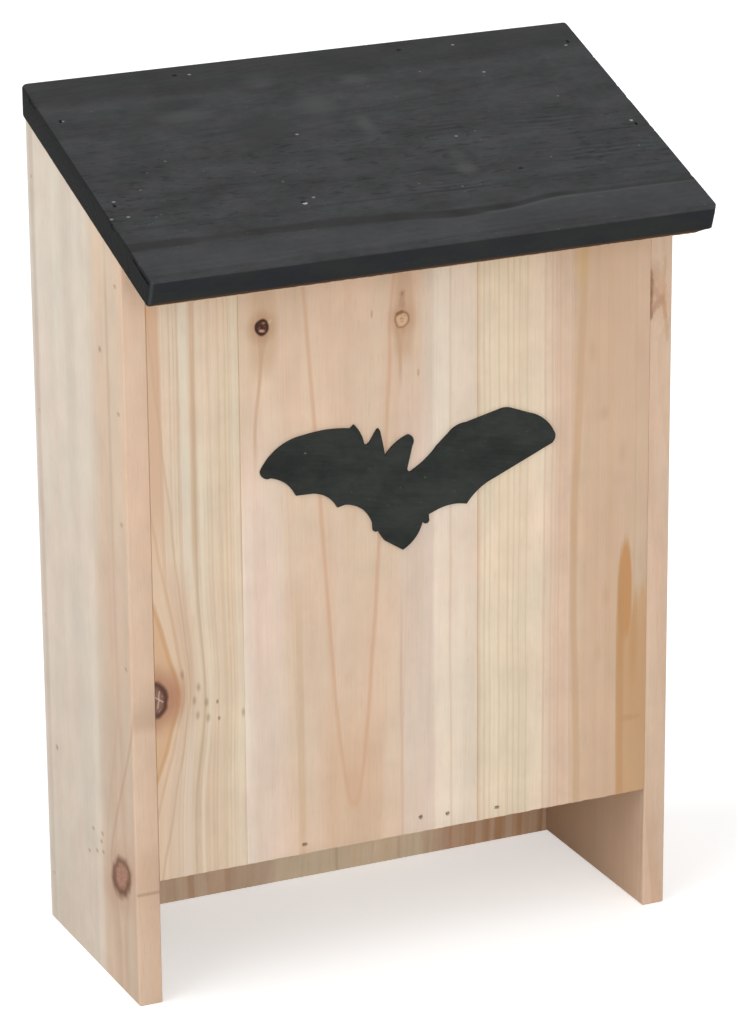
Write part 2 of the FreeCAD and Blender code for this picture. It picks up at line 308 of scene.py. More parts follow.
# A streak along the board: from its low place to its high place it bends over a given stretch
streak_group, take, give = new_group(
    "streak",
    {
        "Colour": pale, "Position": origin, "High Place": 0.0, "Low Place": 0.0,
        "Bend Top": 1.0, "Bend Foot": 0.0, "Half Width": 1.0, "Softness": 1.0, "Top": far,
        "Foot": -far, "End Fade": 20.0, "Tone": (0.5, 0.5, 0.5, 1.0), "Strength": 1.0,
    },
    {"Colour": 4},
)
place = parts_of(take["Position"])
middle = fade(place[2], take["Bend Foot"], take["Bend Top"], take["Low Place"], take["High Place"])
away = abs(place[0] - (middle + sway(take["Position"], (0.02, 0.02, 0.012), 2.0) * 2.4))
share = fade(away, take["Half Width"] + take["Softness"], take["Half Width"])
share *= fade(place[2], take["Top"] + take["End Fade"], take["Top"])
share *= fade(place[2], take["Foot"] - take["End Fade"], take["Foot"])
share *= take["Strength"]
mixed(share, take["Colour"], take["Tone"]).into(give["Colour"])

# Grain that parts and runs round a knot
parting_group, take, give = new_group(
    "grain round a knot",
    {
        "Position": origin, "Centre": origin, "Push": 4.0,
        "Reach Across": 8.0, "Reach Along": 20.0,
    },
    {"Position": 3},
)
apart = parts_of(take["Position"] - take["Centre"])
near = apart[2] / take["Reach Along"]
near = maths("EXPONENT", abs(near) ** 2.0 * -1.0)
beside = apart[0] / take["Reach Across"]
side_of = maths("TANH", beside * 3.0)
beside = maths("EXPONENT", abs(beside) * -1.0)
shift = put(parting_group, "CombineXYZ", {0: near * beside * side_of * take["Push"]})[0]
(take["Position"] - shift).into(give["Position"])

# A knot: a warm halo, a dark bark ring, growth rings inside it and a few checks
knot_group, take, give = new_group(
    "knot",
    {
        "Colour": pale, "Position": origin, "Centre": origin,
        "Size": (4.0, far, 4.0), "Heart Tone": (0.4, 0.2, 0.1, 1.0), "Rim Tone": (0.1, 0.03, 0.02, 1.0),
        "Halo Tone": (0.6, 0.4, 0.2, 1.0), "Halo": 0.5, "Checks": 0.6,
        "Check Tone": (0.1, 0.03, 0.02, 1.0), "Heart Shift": origin, "Heart Size": 0.8,
        "Softness": 0.1, "Tilt": 0.0,
    },
    {"Colour": 4},
)
apart = take["Position"] - take["Centre"]
apart = put(knot_group, "VectorRotate", {"Vector": apart, "Angle": take["Tilt"]}, rotation_type="Y_AXIS")[0]
apart = apart / take["Size"]
ragged = sway(take["Position"], (0.17, 0.17, 0.17), 1.0)
reach = ragged * 0.45 + maths("LENGTH", apart)
inward = (ragged * 0.5 + maths("LENGTH", apart - take["Heart Shift"])) / take["Heart Size"]
colour = mixed(fade(reach, 2.6, 0.9) * take["Halo"], take["Colour"], take["Halo Tone"])
heart = mixed(maths("SINE", inward * 9.0) * 0.1 + 0.15, take["Heart Tone"], take["Rim Tone"])
crazed = noise(take["Position"], (0.9, 0.9, 0.9), 3.0, 0.6)
crazed = fade(crazed, 0.55, 0.62) * take["Checks"]
heart = mixed(crazed, heart, take["Check Tone"])
soft = take["Softness"]
heart = mixed(fade(inward, 0.92 - soft, 0.92 + soft), heart, take["Rim Tone"])
mixed(fade(reach, 1.02 + soft, 1.02 - soft), colour, heart).into(give["Colour"])

# A small spot, such as a pin knot or the bruise round a nail
spot_group, take, give = new_group(
    "spot",
    {
        "Colour": pale, "Position": origin, "Centre": origin,
        "Size": (1.0, far, 1.0), "Tone": (0.2, 0.1, 0.05, 1.0), "Strength": 0.8, "Ragged": 0.0,
        "Core": 0.45,
    },
    {"Colour": 4},
)
reach = maths("LENGTH", (take["Position"] - take["Centre"]) / take["Size"])
reach = sway(take["Position"], (0.5, 0.5, 0.02), 3.0, 0.6) * take["Ragged"] + reach
share = fade(reach, 1.15, take["Core"]) * take["Strength"]
mixed(share, take["Colour"], take["Tone"]).into(give["Colour"])


def in_millimetres(tree, turn=(0, 0, 0), zero=(0, 0, 0)):
    """The place on an object, turned, in millimetres from a zero."""
    where = put(tree, "TexCoord")["Object"]
    moved = [-part for part in zero]
    sockets = {"Vector": where, "Scale": (to_mm,) * 3, "Rotation": turn, "Location": moved}
    return put(tree, "Mapping", sockets)[0]


def join_shader(tree, surface, colour, look, bump, bump_depth, **sockets):
    """Joins a colour and a look's roughness and relief to a shader, and the shader to the surface."""
    relief = put(tree, "Bump", {"Height": look["Height"], "Strength": bump, "Distance": bump_depth})
    named = {key.replace("_", " "): value for key, value in sockets.items()}
    shader = put(tree, "BsdfPrincipled", {
        "Base Color": colour, "Roughness": look["Roughness"], "Normal": relief[0], **named,
    })
    shader[0].into(surface)


class FirFinish:
    """The finish of one board. Its pattern is in millimetres across, through and along the grain."""

    def __init__(self, name, axes, zero, ground, tilt=0.0):
        self.material, self.tree, self.surface = new_material(name)
        parts = parts_of(in_millimetres(self.tree, (tilt, 0, 0), zero))
        order = {index: parts["XYZ".index(axis)] for index, axis in enumerate(axes)}
        self.position = put(self.tree, "CombineXYZ", order)[0]
        self.plain = self.position
        self.colour = srgb(*ground)

    def group(self, tree, **sockets):
        """Places a shader group over the colour so far."""
        named = {key.replace("_", " ").title(): value for key, value in sockets.items()}
        named.update({"Colour": self.colour, "Position": self.position})
        return put(self.tree, "Group", named, node_tree=tree)

    def lay(self, share, tone):
        """Lays a tone over the colour so far."""
        self.colour = mixed(share, self.colour, srgb(*tone))

    def streaks(self, *rows):
        """Streaks of another colour along the board: place, half width, softness, tone and strength,
        then the foot, the top and the fade at the ends, and the low place, foot and top of a bend."""
        for place, half_width, softness, tone, strength, *more in rows:
            foot, top, end_fade = more[0] if more else (-far, far, 20)
            low_place, bend_foot, bend_top = more[1] if more[1:] else (place, 0, 1)
            self.colour = self.group(
                streak_group, high_place=place, low_place=low_place, half_width=half_width,
                softness=softness, tone=srgb(*tone), strength=strength, foot=foot, top=top,
                end_fade=end_fade, bend_foot=bend_foot, bend_top=bend_top,
            )[0]

    def spots(self, places, size, tone, strength, ragged=0.0, core=0.45):
        """Small spots at places given as across and along."""
        for across, along in places:
            self.colour = self.group(
                spot_group, centre=(across, 0, along), size=(size[0], far, size[1]), tone=srgb(*tone),
                strength=strength, ragged=ragged, core=core,
            )[0]

    def part_grain(self, across, along, push, reach_across, reach_along):
        """Bends the grain round a knot."""
        sockets = {
            "Position": self.position, "Centre": (across, 0, along), "Push": push,
            "Reach Across": reach_across, "Reach Along": reach_along,
        }
        self.position = put(self.tree, "Group", sockets, node_tree=parting_group)[0]

    def knot(
        self, across, along, size, heart, rim, halo_tone, halo, checks, check_tone=None,
        heart_shift=origin, heart_size=0.8, softness=0.1, tilt=0.0,
    ):
        """A knot that goes through the board."""
        bent = self.position
        self.position = self.plain
        self.colour = self.group(
            knot_group, centre=(across, 0, along), size=(size[0], far, size[1]), heart_tone=srgb(*heart),
            rim_tone=srgb(*rim), halo_tone=srgb(*halo_tone), halo=halo, checks=checks,
            check_tone=srgb(*(check_tone or rim)), heart_shift=heart_shift, heart_size=heart_size,
            softness=softness, tilt=tilt,
        )[0]
        self.position = bent

    def rings(self, heart, lean, width, wander, unevenness=2.0, band_width=5.0):
        """The growth rings that the saw cut through."""
        sockets = {
            "Position": self.position, "Heart": heart, "Lean": lean, "Ring Width": width,
            "Wander": wander, "Unevenness": unevenness, "Band Width": band_width,
        }
        self.ring_sockets = put(self.tree, "Group", sockets, node_tree=rings_group)

    def grain(
        self, contrast, fibre, flow, late_tint=late_brown, band_tone=(224, 208, 190), bands=0.4,
        clouds=0.3,
    ):
        """Lays the rings and fibres over the ground colour."""
        self.wood = self.group(
            fir_group, latewood=self.ring_sockets["Latewood"], contrast=contrast, fibre=fibre, flow=flow,
            late_tint=late_tint, band=self.ring_sockets["Band"], band_tone=srgb(*band_tone), bands=bands,
            clouds=clouds,
        )
        self.colour = self.wood["Colour"]

    def ring_line(self, ring, half_width, tone, strength):
        """One ring that stands out from the others."""
        away = abs(self.ring_sockets["Ring"] - ring)
        self.lay(fade(away, 2 * half_width, 0.3 * half_width) * strength, tone)

    def pointed_arch(self, across, foot, spread, flare, half_width, tone, strength, fill):
        """A ring cut near its tip: two lines that part as they rise from a foot."""
        place = parts_of(self.position)
        aside = sway(self.plain, (0.03, 0.03, 0.012), 2.0) * 3.0 + (place[0] - across)
        rise = place[2] - foot
        gap = aside * aside - rise * (rise * flare + spread)
        away = gap / (maths("MAXIMUM", abs(aside), 2.0) * 2.0)
        line = fade(abs(away), 2 * half_width, 0.3 * half_width)
        inside = fade(away, 0.3, -1.2) * fade(rise, 26.0, 6.0, 0.0, fill)
        self.lay(maths("MAXIMUM", line, inside) * fade(rise, -3.0, 1.0) * strength, tone)

    def side_arch(self, across, along, above, below, tone, fill, line_tone, line, line_width):
        """A ring that bows round a knot at the board's left edge, and the darker wood inside it."""
        place = parts_of(self.plain)
        rise = place[2] - along
        edge = (maths("SQRT", rise * rise + 36.0) - 6.0) * fade(rise, -1.0, 1.0, below, above)
        past = sway(self.plain, (0.05, 0.05, 0.04), 2.0) * 2.4 + (place[0] - across + edge)
        self.lay(fade(past, 0.4, -1.6) * fill, tone)
        on_line = fade(abs(past + line_width), 1.6 * line_width, 0.3)
        self.lay(on_line * line, line_tone)

    def strokes(self, *rows, on_edge=False):
        """Short marks on the face of the board or on its front edge: from one point to another, half
        width, tone, strength and softness."""
        place = parts_of(self.plain)
        for start, end, half_width, tone, strength, softness in rows:
            run, rise = end[0] - start[0], end[1] - start[1]
            length = math.hypot(run, rise)
            torn = sway(self.plain, (0.35, 0.35, 0.2), 3.0, 0.6)
            aside = torn * (3 * softness) + (place[1 if on_edge else 0] - start[0])
            up = place[2] - start[1]
            along = aside * (run / length) + up * (rise / length)
            away = aside * (rise / length) - up * (run / length)
            share = fade(abs(away), half_width + softness, half_width) * fade(along, -softness, softness)
            share *= fade(along, length + softness, length - softness)
            if on_edge:
                share *= fade(place[0], 8.0, 3.0)
            self.lay(share * strength, tone)

    def finish(self):
        """Joins the finish to the shader and hands back the material."""
        join_shader(self.tree, self.surface, self.colour, self.wood, 0.7, 0.00012, Specular_IOR_Level=0.25)
        return self.material


def add_block(name, low, high):
    """A squared block of timber, added at its size and place."""
    middle = [(a + b) / 2 for a, b in zip(low, high)]
    bpy.ops.mesh.primitive_cube_add(size=1, location=middle, scale=[b - a for a, b in zip(low, high)])
    block = bpy.context.object
    block.name = name
    block.data.name = name
    bpy.ops.object.transform_apply()
    return block


def run_tool(piece, tool, **settings):
    """Runs one editing tool over a whole piece."""
    bpy.context.view_layer.objects.active = piece
    bpy.ops.object.mode_set(mode="EDIT")
    bpy.ops.mesh.select_all(action="SELECT")
    tool(**settings)
    bpy.ops.object.mode_set(mode="OBJECT")


def saw_off(piece, point, outwards):
    """Saws a piece along a plane and keeps the part behind it."""
    run_tool(
        piece, bpy.ops.mesh.bisect, plane_co=point, plane_no=outwards, use_fill=True, clear_outer=True
    )


def apply_modifier(piece, kind, **settings):
    """Adds a modifier, sets it up and applies it."""
    modifier = piece.modifiers.new(kind.lower(), kind)
    for name, value in settings.items():
        setattr(modifier, name, value)
    bpy.context.view_layer.objects.active = piece
    bpy.ops.object.modifier_apply(modifier=modifier.name)


def ease_edges(piece, width, segments):
    """Takes the sharpness off every edge, as sandpaper does."""
    apply_modifier(
        piece, "BEVEL", width=width, segments=segments, limit_method="ANGLE",
        angle_limit=math.radians(30),
    )


def cut_away(piece, cutter):
    """Cuts one shape out of a piece and throws the cutter away."""
    apply_modifier(piece, "BOOLEAN", operation="DIFFERENCE", object=cutter, solver="EXACT")
    bpy.data.objects.remove(cutter)


def knock(piece, place, size, seed):
    """A small dent or chip, cut with a roughened pebble of a given size."""
    bpy.ops.mesh.primitive_ico_sphere_add(subdivisions=3, radius=1, location=place, scale=size)
    pebble = bpy.context.object
    bpy.ops.object.transform_apply()
    run_tool(pebble, bpy.ops.transform.vertex_random, offset=0.1 * min(size), seed=seed)
    cut_away(piece, pebble)


brad_spacing = 0.004


def brads_in(node, axis):
    """Lowest and highest corner of each brad of a row, told apart by the gaps along an axis."""
    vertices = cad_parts[node].data.vertices
    points = sorted((vertex.co for vertex in vertices), key=lambda point: point[axis])
    rows = [[points[0]]]
    for point in points[1:]:
        if point[axis] - rows[-1][-1][axis] > brad_spacing:
            rows.append([])
        rows[-1].append(point)
    return [(Vector(map(min, zip(*row))), Vector(map(max, zip(*row)))) for row in rows]


def set_in_place(piece, node, material):
    """Gives a piece its finish and its body, and hides the node from the CAD that it stands for."""
    piece.data.materials.clear()
    piece.data.materials.append(material)
    bpy.ops.object.select_all(action="DESELECT")
    piece.select_set(True)
    bpy.context.view_layer.objects.active = piece
    bpy.ops.object.shade_smooth_by_angle(angle=math.radians(35))
    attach(piece, "root")
    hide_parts(node)


side_low, side_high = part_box("left_side_board")
roof_slope = 0.35
side_front_top = side_high[2] - roof_slope * (side_high[1] - side_low[1])
roof_pitch = math.atan(roof_slope)
slope_out = Vector((0, -math.sin(roof_pitch), math.cos(roof_pitch)))
slope_point = Vector((0, front_face_y, side_front_top))
side_zero = {"left": (-120, to_mm * front_face_y, 0), "right": (120, to_mm * front_face_y, 0)}

left_finish = FirFinish("left_side_fir", "YXZ", side_zero["left"], (219, 207, 192))
# Painted shade: the first and third streaks darken the face towards the foot and fade out by about 280 mm
# up
left_finish.streaks(
    (50, 90, 90, (204, 191, 176), 1.0, (-far, 20, 260)),
    (0, 24, 19, (214, 189, 165), 0.95),
    (0, 24, 19, (193, 169, 147), 1.0, (-far, 20, 260)),
    (-2, 2.5, 2, (216, 184, 158), 0.8),
    (17, 0.5, 1.6, (200, 172, 150), 0.5),
    (40.5, 1.5, 3, (220, 206, 190), 0.5),
    (57, 3, 5, (203, 190, 175), 0.35),
    (95, 1.2, 2, (193, 178, 164), 0.7),
    (99, 0.8, 1.5, (208, 196, 186), 0.6),
)
left_finish.part_grain(16, 50.5, 9, 9, 16)
left_finish.rings((-160, -40, 0), (0.01, 0, 0), 2.6, 6.0, band_width=7.0)
left_finish.grain(0.13, 0.12, 0.2, band_tone=(214, 199, 183), bands=0.22)
left_finish.streaks(
    (16, 0.3, 1.5, (186, 156, 134), 0.28, (70, 290, 20), (30, 60, 130)),
    (-1, 0.3, 1.5, (172, 140, 114), 0.4, (64, 130, 20), (25, 52, 135)),
)
left_finish.spots(((10, 56),), (8, 6), (190, 152, 130), 0.5, core=0.2)
left_finish.spots(((26, 40),), (11, 9), (192, 160, 140), 0.6, core=0.2)
left_finish.knot(
    16.6, 50.5, (11.2, 7.8), (160, 118, 98), (112, 76, 54), (182, 146, 122), 0.45, 0.5, (200, 156, 138),
    (-0.04, 0.0, 0.08), 0.7, 0.26, -0.66,
)
left_finish.spots(
    ((47, 60.4), (36.4, 62), (37.6, 58), (43, 52), (35.6, 54), (52, 48.6), (0.6, 49)), (2.0, 1.2),
    (140, 112, 84), 0.6, core=0.1,
)
left_finish.spots(((24.4, 272), (86.8, 81.6)), (2.0, 1.8), (140, 126, 104), 0.7, core=0.1)

right_finish = FirFinish("right_side_fir", "YXZ", side_zero["right"], (213, 187, 164))
right_finish.streaks(
    (12, 14, 9, (209, 179, 156), 0.7),
    (62, 18, 14, (212, 192, 167), 0.5),
)
right_finish.part_grain(-3, 269, 6, 6, 11)
right_finish.rings((210, 60, 0), (-0.02, 0, 0), 2.9, 5.0)
right_finish.grain(0.3, 0.14, 0.3, band_tone=(212, 189, 165))
# Painted shade: this streak darkens the board below about 46 mm, where its inner face shows in the shade
# under the front panel
right_finish.streaks((55, 45, 8, (205, 173, 146), 0.6, (-far, 46, 10)))

# A branch ran out through the front edge of the right board and left darker wood in its fork
right_finish.strokes(
    ((-9.4, 284), (-9.4, 264), 1.4, (190, 152, 124), 0.5, 2.8),
    ((-7.4, 280), (-6.8, 268), 1.6, (196, 160, 133), 0.5, 2.6),
    ((-9.9, 281), (-9.9, 260), 0.2, (128, 92, 66), 0.7, 1.2),
    ((-9.6, 277), (-9.6, 270), 0.6, (140, 104, 80), 0.5, 1.0),
    ((-9.6, 263.0), (-4.4, 268.6), 0.6, (166, 126, 98), 0.6, 1.8),
    ((-9.6, 276.0), (-5.6, 268.2), 0.3, (176, 138, 110), 0.45, 1.5),
    ((-3.4, 286), (-4.2, 268), 0.2, (192, 156, 122), 0.5, 1.2),
    ((-4.4, 270), (-2.9, 259.5), 0.5, (186, 144, 106), 0.65, 1.2),
    ((-2.9, 261), (-1.6, 250), 0.3, (194, 155, 118), 0.55, 1.1),
    on_edge=True,
)

side_finishes = {"left": left_finish, "right": right_finish}
stopped_hole = (0.0004, 0.0012, 0.0008)
stopped_x = 0.1201
for side, direction in (("left", -1), ("right", 1)):
    node = side + "_side_board"
    board = add_block(side + "_side_plank", *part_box(node))
    saw_off(board, slope_point, slope_out)
    ease_edges(board, 0.0006, 3)
    finish = side_finishes[side]
    for row, mark in (("front_panel_brads_", 0.55), ("back_panel_brads_", 0.25)):
        for low, high in brads_in(row + side, 2):
            middle = (low + high) / 2
            middle.x = direction * stopped_x
            knock(board, middle, stopped_hole, 1)
            across = to_mm * (middle.y - front_face_y)
            finish.spots([(across, to_mm * middle.z)], (2.0, 1.3), (150, 128, 104), mark, core=0.1)
    set_in_place(board, node, finish.finish())

# The front panel is glued up from three fir staves and planed flush. It hangs between the side
# boards well clear of the ground, and its foot was left as the saw cut it.
glue_edge = 0.00018
ragged_depth = 0.0006
torn_height = 0.0012
pit_room = 0.00006
pit_reach = 0.003
pit_edge = 0.0002

saw_marks = bpy.data.textures.new("saw_marks", type="CLOUDS")
saw_marks.noise_scale = 0.0016


def work_edges(piece, wanted, tool, **settings):
    """Runs one mesh tool over the wanted edges of a piece, each edge told by its two ends."""
    bpy.context.view_layer.objects.active = piece
    bpy.ops.object.mode_set(mode="EDIT")
    bpy.ops.mesh.select_mode(type="EDGE")
    bpy.ops.mesh.select_all(action="DESELECT")
    bpy.ops.object.mode_set(mode="OBJECT")
    places = [vertex.co for vertex in piece.data.vertices]
    for edge in piece.data.edges:
        edge.select = wanted(*(places[index] for index in edge.vertices))
    bpy.ops.object.mode_set(mode="EDIT")
    tool(**settings)
    bpy.ops.object.mode_set(mode="OBJECT")


def ragged_foot(piece, foot, cuts):
    """Breaks up the lower edges of a stave where the saw tore the fibres."""
    work_edges(
        piece, lambda a, b: max(a.z, b.z) < foot + torn_height and abs(a.x - b.x) > 0.01,
        bpy.ops.mesh.subdivide, number_cuts=cuts,
    )
    torn = piece.vertex_groups.new(name="torn")
    torn.add([v.index for v in piece.data.vertices if v.co.z < foot + torn_height], 1.0, "REPLACE")
    apply_modifier(
        piece, "DISPLACE", texture=saw_marks, texture_coords="LOCAL", direction="Z", mid_level=0.3,
        strength=ragged_depth, vertex_group=torn.name,
    )
    piece.vertex_groups.clear()


def sink_pits(piece, node, axis, outwards):
    """Punches the pit over each brad of a row. outwards is the axis and the side it was driven from."""
    out_axis, out_side = outwards
    for low, high in brads_in(node, axis):
        low -= Vector((pit_room,) * 3)
        high += Vector((pit_room,) * 3)
        if out_side > 0:
            low[out_axis] = high[out_axis] - 2 * pit_room
            high[out_axis] += pit_reach
        else:
            high[out_axis] = low[out_axis] + 2 * pit_room
            low[out_axis] -= pit_reach
        cutter = add_block("pit", low, high)
        ease_edges(cutter, pit_edge, 1)
        cut_away(piece, cutter)


stave_zero = (0, to_mm * front_face_y, 0)

stave_left = FirFinish("left_stave_fir", "XYZ", stave_zero, (220, 199, 175))
stave_left.part_grain(-109, 132, 13, 13, 30)
stave_left.streaks(
    (-101, 2.4, 1.2, (211, 189, 167), 0.9),
    (-97.8, 0.8, 0.8, (205, 183, 160), 0.8),
    (-73.5, 0.8, 1.0, (224, 208, 184), 0.7),
    (-77.5, 1.5, 1.5, (221, 200, 172), 0.6),
    (-95, 1.5, 0.8, (215, 202, 184), 0.9, (190, far, 30)),
    (-91.6, 1.1, 1.3, (202, 172, 145), 0.7, (200, far, 30)),
    (-88.8, 0.8, 0.8, (219, 203, 180), 0.7, (190, far, 30)),
    (-100, 14, 6, (208, 181, 155), 0.7, (-far, 92, 50)),
)
stave_left.rings((-420, -60, 0), (0, 0, 0), 1.7, 2.4, 2.2, 2.6)
stave_left.grain(0.42, 0.14, 0.2, (0.8, 0.72, 0.6, 1.0), (227, 210, 187), 0.3)
stave_left.streaks(
    (-108.2, 2.2, 2.0, (201, 164, 136), 0.9, (225, far, 60)),
    (-105.2, 0.3, 0.9, (196, 160, 132), 0.5, (190, 262, 30)),
    (-109.8, 0.7, 1.0, (204, 162, 120), 0.7, (290, far, 24)),
    (-101, 3, 3, (216, 194, 173), 0.5, (-far, 96, 30)),
    (-97.6, 1.2, 1.2, (222, 206, 188), 0.4, (-far, 100, 36)),
    (-91.4, 0.25, 0.8, (182, 160, 132), 0.5, (-far, 250, 30), (-93.8, 80, 126)),
    (-88.6, 0.4, 0.8, (226, 212, 190), 0.5, (-far, 220, 30), (-90.6, 80, 126)),
    (-84.6, 0.1, 0.7, (198, 176, 148), 0.35),
    (-80.2, 0.2, 0.7, (196, 174, 144), 0.35, (-far, 190, 20)),
    (-71.3, 0.2, 0.7, (196, 160, 118), 0.6, (140, far, 40)),
    (-100, 2, 5, (205, 171, 146), 0.5, (140, 168, 26)),
)
stave_left.side_arch(-94.6, 133, 0.1, 0.18, (206, 180, 154), 0.25, (192, 164, 134), 0.5, 0.5)
stave_left.side_arch(-97.2, 133, 0.18, 0.27, (208, 178, 148), 0.35, (196, 160, 126), 0.5, 0.6)
stave_left.side_arch(-99.2, 131, 0.29, 0.35, (202, 162, 126), 0.75, (192, 146, 100), 0.6, 0.9)
stave_left.spots(((-108, 132),), (8, 15), (172, 120, 92), 0.6, core=0.1)
stave_left.knot(
    -109.4, 131.6, (4.8, 7.2), (128, 96, 82), (88, 55, 44), (150, 100, 74), 0.5, 0.3, (196, 158, 134),
    (-0.12, 0.0, 0.0), 0.8, 0.16,
)
stave_left.strokes(
    ((-111, 133.6), (-106.6, 130.4), 0.12, (204, 172, 152), 0.7, 0.35),
    ((-108.2, 135.4), (-109.0, 128.0), 0.12, (204, 172, 152), 0.6, 0.35),
)
stave_left.spots(
    (
        (-94.8, 134.2), (-97.2, 128.8), (-90.7, 127.2), (-95.2, 122.2), (-89.7, 120.5), (-72.7, 120.3),
        (-103.5, 140.5),
    ),
    (1.5, 2.6), (138, 112, 86), 0.55, core=0.0,
)
stave_left.spots(((-85.2, 126.7), (-84.3, 119.5)), (0.8, 1.2), (112, 84, 62), 0.7, core=0.2)

stave_middle = FirFinish("middle_stave_fir", "XYZ", stave_zero, (217, 191, 167))
stave_middle.streaks(
    (-69.8, 1.8, 2.5, (231, 219, 204), 0.95, (-far, 190, 60)),
    (-69.5, 2, 2.5, (216, 192, 168), 0.6, (230, far, 40)),
    (-62, 6, 6, (222, 202, 187), 0.75, (-far, 190, 70)),
    (-47.5, 0.8, 1.4, (203, 172, 140), 0.6, (-far, 150, 30), (-47, 60, 160)),
    (4.5, 4, 6, (214, 195, 181), 0.8, (-far, 210, 60)),
    (22, 8.6, 3, (229, 214, 196), 0.95),
    (15.5, 2, 2, (232, 217, 199), 0.6),
    (10, 1.5, 2, (217, 201, 188), 0.6),
    (-24, 9, 8, (207, 176, 149), 0.75, (-far, 88, 40)),
)
stave_middle.part_grain(-61.3, 279.7, 3, 5, 10)
stave_middle.part_grain(-1.3, 275, 3, 5, 10)
stave_middle.rings((-25.4, 32.1, 0), (0.002, -0.03, 0), 3.3, 1.0, 0.6, 9.0)
stave_middle.grain(0.1, 0.14, 0.25, (0.84, 0.68, 0.54, 1.0), (220, 198, 176), 0.25)
stave_middle.pointed_arch(-24.0, 70.8, 0.95, 0.0035, 0.75, (203, 160, 128), 0.55, 0.5)
stave_middle.ring_line(37.2, 0.2, (204, 164, 134), 0.2)
stave_middle.streaks(
    (-2.2, 0.2, 0.8, (196, 160, 136), 0.4, (60, 130, 40)),
    (-61, 2.5, 5, (190, 156, 122), 0.5, (268, 302, 14)),
    (-61.6, 0.3, 0.9, (184, 148, 118), 0.5, (236, 275, 20), (-65, 232, 275)),
    (-0.8, 1.5, 4, (186, 148, 116), 0.5, (264, 298, 10)),
    (-2, 0.3, 0.8, (190, 152, 120), 0.5, (255, 272, 12)),
    (19.8, 0.15, 0.7, (198, 170, 146), 0.35),
)
stave_middle.knot(
    -61.5, 279.6, (3.1, 3.4), (74, 36, 28), (52, 28, 16), (178, 140, 108), 0.6, 0.3, (190, 150, 124),
    (0.06, 0.0, 0.0), 0.8, 0.14,
)
stave_middle.strokes(
    ((-62.6, 278.4), (-60.4, 278.0), 0.1, (206, 162, 134), 0.85, 0.8),
    ((-61.6, 281.4), (-60.4, 281.2), 0.2, (166, 120, 96), 0.6, 0.5),
)
stave_middle.knot(
    -1.3, 275, (3.3, 3.5), (214, 178, 146), (156, 116, 82), (188, 150, 122), 0.5, 0.6, (160, 116, 84),
    (0.0, 0.0, -0.04), 0.86, 0.14,
)
stave_middle.strokes(
    ((-1.2, 287), (-1.4, 279.6), 0.7, (170, 132, 106), 0.55, 1.2),
    ((-1.2, 286.2), (-1.2, 284.8), 0.3, (138, 104, 82), 0.55, 0.6),
    ((-3.8, 277.2), (-0.8, 278.3), 0.5, (132, 92, 62), 0.7, 0.6),
    ((-1.7, 275.6), (-1.0, 275.2), 0.2, (150, 108, 78), 0.6, 0.4),
    ((-58.4, 281.8), (-57.8, 281.4), 0.3, (222, 194, 166), 0.6, 0.8),
)
stave_middle.spots(((-14.2, 278.8), (5.8, 252)), (0.6, 2.0), (176, 140, 110), 0.6)

stave_right = FirFinish("right_stave_fir", "XYZ", stave_zero, (207, 178, 151))
stave_right.streaks(
    (44.5, 10.5, 2.5, (224, 206, 180), 0.95),
    (38.5, 1.8, 2.0, (225, 208, 184), 0.6),
    (59.5, 2.6, 2.5, (230, 212, 189), 0.85),
    (65, 1.6, 1.8, (221, 198, 177), 0.8),
    (71.2, 3.0, 2.0, (215, 187, 165), 0.85),
    (91, 3.5, 3.0, (202, 169, 141), 0.6),
    (102, 8, 5, (207, 177, 151), 0.6, (200, far, 30)),
)
stave_right.rings((-160, -50, 0), (0, 0, 0), 2.0, 2.0, 3.2, 3.5)
stave_right.grain(0.26, 0.13, 0.12, (0.85, 0.74, 0.6, 1.0), (223, 205, 180), 0.2, 0.4)
for place in (35, 37.5, 41.7, 45.8, 48.3, 50.8, 54.2):
    stave_right.streaks((place, 0.15, 0.5, (198, 180, 152), 0.4))
for place in (62.2, 65.6, 69.2, 74.6):
    stave_right.streaks((place, 0.15, 0.6, (204, 168, 144), 0.4))
stave_right.streaks(
    (80.0, 0.8, 1.7, (196, 160, 124), 0.6, (180, far, 20), (76, 170, 292)),
    (76, 0.8, 1.5, (195, 160, 128), 0.65, (-far, 166, 20), (77.8, 80, 160)),
)
stave_right.spots(((79.4, 291),), (4.2, 17), (206, 173, 124), 0.6, 0.5, 0.2)
stave_right.streaks(
    (92, 8, 5, (205, 175, 148), 0.5),
    (103, 6, 4, (207, 177, 151), 0.4, (180, far, 20)),
)
stave_right.spots(((87.5, 119), (91, 144), (98, 205), (84, 250)), (2.5, 7), (190, 156, 126), 0.4, core=0.0)
stave_right.spots(((89.5, 223),), (3.2, 4.5), (188, 154, 128), 0.5, 0.8, 0.0)
stave_right.spots(((105.5, 248),), (4, 13), (198, 165, 142), 0.45, 0.6, 0.0)
stave_right.spots(((97, 194), (83, 222)), (6, 5), (201, 168, 145), 0.4, 0.6, 0.0)

# Where a branch began, the wood is orange: two tongues that run together towards the foot
stave_right.spots(((110.5, 112),), (10.5, 36), (198, 158, 118), 0.85, 0.5, 0.8)
stave_right.streaks((103.2, 6.9, 0.5, (197, 157, 116), 0.85, (-far, 116, 26)))
stave_right.spots(((100.0, 144),), (3.5, 23), (194, 143, 94), 0.95, 0.5, 0.75)
stave_right.spots(((98.6, 128), (104, 122)), (2.6, 24), (190, 144, 98), 0.5, 0.6, 0.3)
stave_right.streaks((98.0, 0.9, 1.2, (188, 143, 98), 0.6, (-far, 146, 16)))
stave_right.spots(((102, 87.5),), (7, 2), (184, 140, 98), 0.4, 0.6, 0.1)

# Each stave, and how many cuts its torn foot is broken into
staves = {"left": (stave_left, 30), "middle": (stave_middle, 84), "right": (stave_right, 62)}

